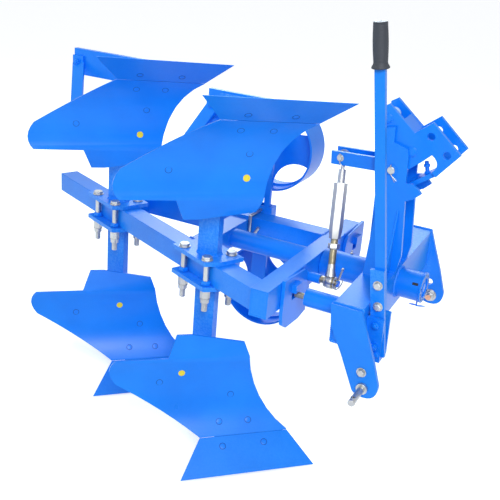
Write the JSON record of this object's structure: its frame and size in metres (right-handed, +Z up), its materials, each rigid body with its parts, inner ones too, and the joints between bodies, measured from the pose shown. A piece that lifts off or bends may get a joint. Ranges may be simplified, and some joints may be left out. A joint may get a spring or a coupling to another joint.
{
  "type": "reversible plough",
  "caption": "Mounted reversible plough: headstock with mast and release lever, turnover frame with plough bodies above and below a diagonal beam, and gauge wheels.",
  "frame": {"origin": "midway between the two lower link pins of the three-point hitch", "axes": "+X forward in the direction of travel, +Y to the left along the lower link pins, +Z up"},
  "size_m": [1.3484, 0.8792, 1.2249],
  "materials": {
    "blue_paint": "gloss",
    "zinc_plate": "satin",
    "yellow_zinc": "satin",
    "bare_steel": "satin",
    "grip_rubber": "matte"
  },
  "bodies": {
    "headstock": {"headstock_frame": "blue_paint", "bearing_tube": "blue_paint", "mast_plate_near": "blue_paint", "mast_plate_far": "blue_paint", "lower_link_pin_near": "zinc_plate", "lower_link_pin_far": "zinc_plate", "lever_bracket": "blue_paint", "pivot_pin": "zinc_plate"},
    "rotor": {"diagonal_beam": "blue_paint", "front_cross_tube": "blue_paint", "side_tube": "blue_paint", "middle_cross_tube": "blue_paint", "turnover_shaft": "blue_paint", "stop_plate_near": "blue_paint", "stop_plate_far": "blue_paint", "leg_lower_front": "blue_paint", "share_lower_front": "blue_paint", "mouldboard_lower_front": "blue_paint", "landside_lower_front": "blue_paint", "stay_lower_front": "blue_paint", "leg_upper_front": "blue_paint", "share_upper_front": "blue_paint", "mouldboard_upper_front": "blue_paint", "landside_upper_front": "blue_paint", "stay_upper_front": "blue_paint", "leg_lower_rear": "blue_paint", "share_lower_rear": "blue_paint", "mouldboard_lower_rear": "blue_paint", "landside_lower_rear": "blue_paint", "stay_lower_rear": "blue_paint", "leg_upper_rear": "blue_paint", "share_upper_rear": "blue_paint", "mouldboard_upper_rear": "blue_paint", "landside_upper_rear": "blue_paint", "stay_upper_rear": "blue_paint", "clamp_bolt_front_1": "zinc_plate", "clamp_bolt_front_2": "zinc_plate", "clamp_bolt_front_3": "zinc_plate", "clamp_bolt_front_4": "zinc_plate", "clamp_bolt_rear_1": "zinc_plate", "clamp_bolt_rear_2": "zinc_plate", "clamp_bolt_rear_3": "zinc_plate", "clamp_bolt_rear_4": "zinc_plate", "wheel_bracket": "blue_paint"},
    "arm_upper": {"wheel_arm_upper": "blue_paint"},
    "arm_lower": {"wheel_arm_lower": "blue_paint"},
    "wheel_upper": {"gauge_wheel_upper": "blue_paint"},
    "wheel_lower": {"gauge_wheel_lower": "blue_paint"},
    "pin_upper": {"locking_pin_upper": "zinc_plate"},
    "pin_lower": {"locking_pin_lower": "zinc_plate"},
    "lever": {"release_lever": "blue_paint", "lever_grip": "grip_rubber"},
    "lock": {"lock_bolt": "yellow_zinc"},
    "rocker": {"rocker_arms": "blue_paint", "top_link_plate_near": "blue_paint", "top_link_plate_far": "blue_paint", "stop_bar": "blue_paint"},
    "turnbuckle": {"turnbuckle_eye": "zinc_plate", "turnbuckle_rod_end": "yellow_zinc"},
    "sleeve": {"turnbuckle_sleeve": "zinc_plate"}
  },
  "joints": [
    {"name": "turnover", "type": "hinge", "parent": "headstock", "child": "rotor", "pos_m": [-0.264, 0, 0.166], "axis": [-1, 0, 0], "range_deg": [0, 171.74]},
    {"name": "arm_upper_slide", "type": "slide", "parent": "rotor", "child": "arm_upper", "axis": [0, 0.072, 0.9974], "range_m": [-0.018, 0.027]},
    {"name": "arm_lower_slide", "type": "slide", "parent": "rotor", "child": "arm_lower", "axis": [0, -0.072, -0.9974], "range_m": [-0.018, 0.027]},
    {"name": "wheel_upper_spin", "type": "hinge", "parent": "arm_upper", "child": "wheel_upper", "pos_m": [-0.532, 0.26506, 0.37946], "axis": [0, 0.9974, -0.072], "continuous": true},
    {"name": "wheel_lower_spin", "type": "hinge", "parent": "arm_lower", "child": "wheel_lower", "pos_m": [-0.532, 0.23164, -0.08333], "axis": [0, 0.9974, -0.072], "continuous": true},
    {"name": "pin_upper_pull", "type": "slide", "parent": "rotor", "child": "pin_upper", "axis": [0, -0.9974, 0.072], "range_m": [0, 0.055]},
    {"name": "pin_lower_pull", "type": "slide", "parent": "rotor", "child": "pin_lower", "axis": [0, -0.9974, 0.072], "range_m": [0, 0.055]},
    {"name": "lever_swing", "type": "hinge", "parent": "headstock", "child": "lever", "pos_m": [0.011, -0.231, 0.076], "axis": [0, 1, 0], "range_deg": [0, 12]},
    {"name": "lock_slide", "type": "slide", "parent": "headstock", "child": "lock", "axis": [1, 0, 0], "range_m": [0, 0.0189], "stiffness_N_per_m": 800, "springref_m": -0.01},
    {"name": "rocker_swing", "type": "hinge", "parent": "headstock", "child": "rocker", "pos_m": [-0.068, 0, 0.4925], "axis": [0, 1, 0], "range_deg": [0, 35]},
    {"name": "turnbuckle_pitch", "type": "hinge", "parent": "rocker", "child": "turnbuckle", "pos_m": [-0.216, 0, 0.488], "axis": [0, 1, 0], "range_deg": [-35, 0]},
    {"name": "turnbuckle_spin", "type": "hinge", "parent": "turnbuckle", "child": "sleeve", "pos_m": [-0.216, 0, 0.488], "axis": [0.1153, -0.3597, -0.9259], "continuous": true}
  ],
  "couplings": [
    {"joint": "lock_slide", "follows": "lever_swing", "m_per_rad": 0.09},
    {"joint": "turnbuckle_pitch", "follows": "rocker_swing", "ratio": -1}
  ]
}
